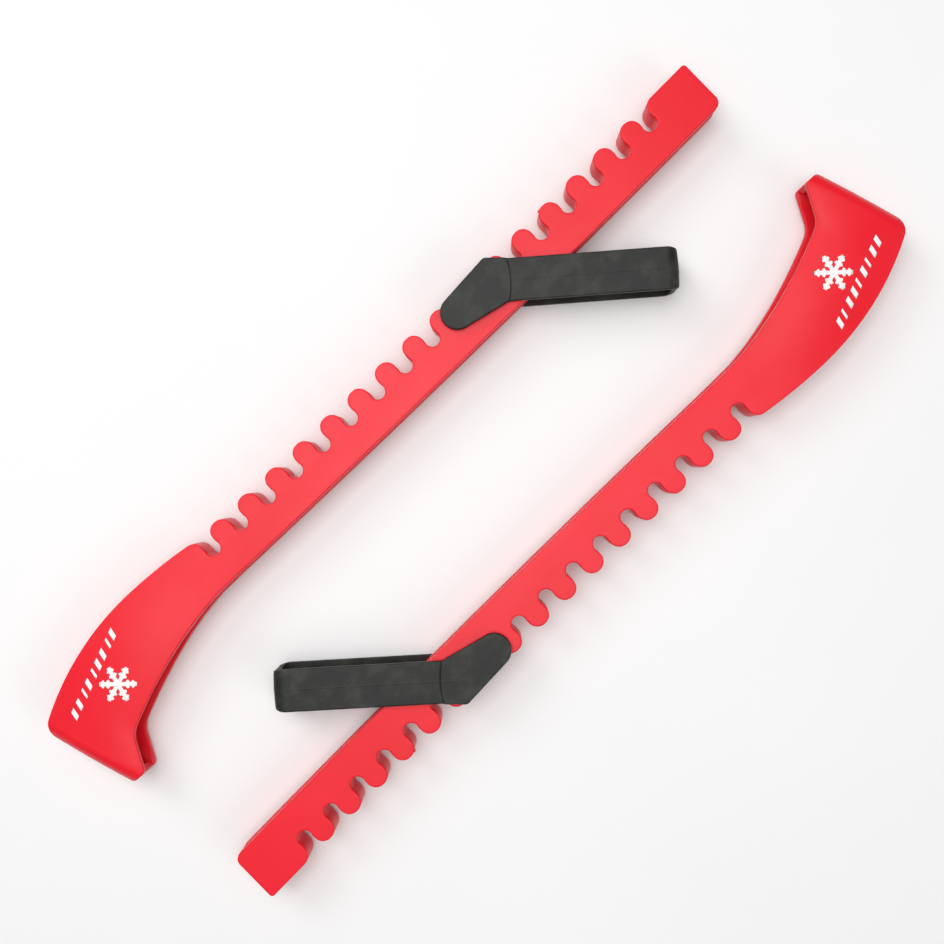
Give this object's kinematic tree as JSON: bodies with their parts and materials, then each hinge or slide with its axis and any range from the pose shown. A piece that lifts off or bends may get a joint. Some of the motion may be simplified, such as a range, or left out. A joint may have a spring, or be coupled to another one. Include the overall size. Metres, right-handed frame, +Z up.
{
  "type": "pair of skate blade guards",
  "caption": "Pair of moulded walking guards for hockey skate blades, each a notched slotted bar with a toe cup and a rubber loop strap that hooks in a notch.",
  "frame": {"origin": "centre of the pair's box, on the surface the pair lies on", "axes": "+X along the guards, towards the right guard's toe; +Y from the right guard's ground teeth to its mouth, across to the left guard; +Z up, out of the guards' upper side faces"},
  "size_m": [0.3978, 0.1334, 0.0204],
  "materials": {
    "red_plastic": "satin moulded polyethylene, bright red, soft broad highlights",
    "black_rubber": "satin moulded rubber, dark grey-black"
  },
  "bodies": {
    "right_guard": {"right_guard_body": "red_plastic"},
    "right_loop": {"right_strap": "black_rubber"},
    "left_guard": {"left_guard_body": "red_plastic"},
    "left_loop": {"left_strap": "black_rubber"}
  },
  "joints": [
    {"name": "right_strap_swing", "type": "hinge", "parent": "right_guard", "child": "right_loop", "pos_m": [-0.04388, -0.05492, 0.0102], "axis": [0, 0, 1], "range_deg": [-129, 17]},
    {"name": "left_strap_swing", "type": "hinge", "parent": "left_guard", "child": "left_loop", "pos_m": [0.044, 0.05301, 0.0102], "axis": [0, 0, 1], "range_deg": [-130, 16]},
    {"name": "left_guard_apart", "type": "slide", "parent": "right_guard", "child": "left_guard", "axis": [0, 1, 0], "range_m": [0, 0.12]}
  ]
}
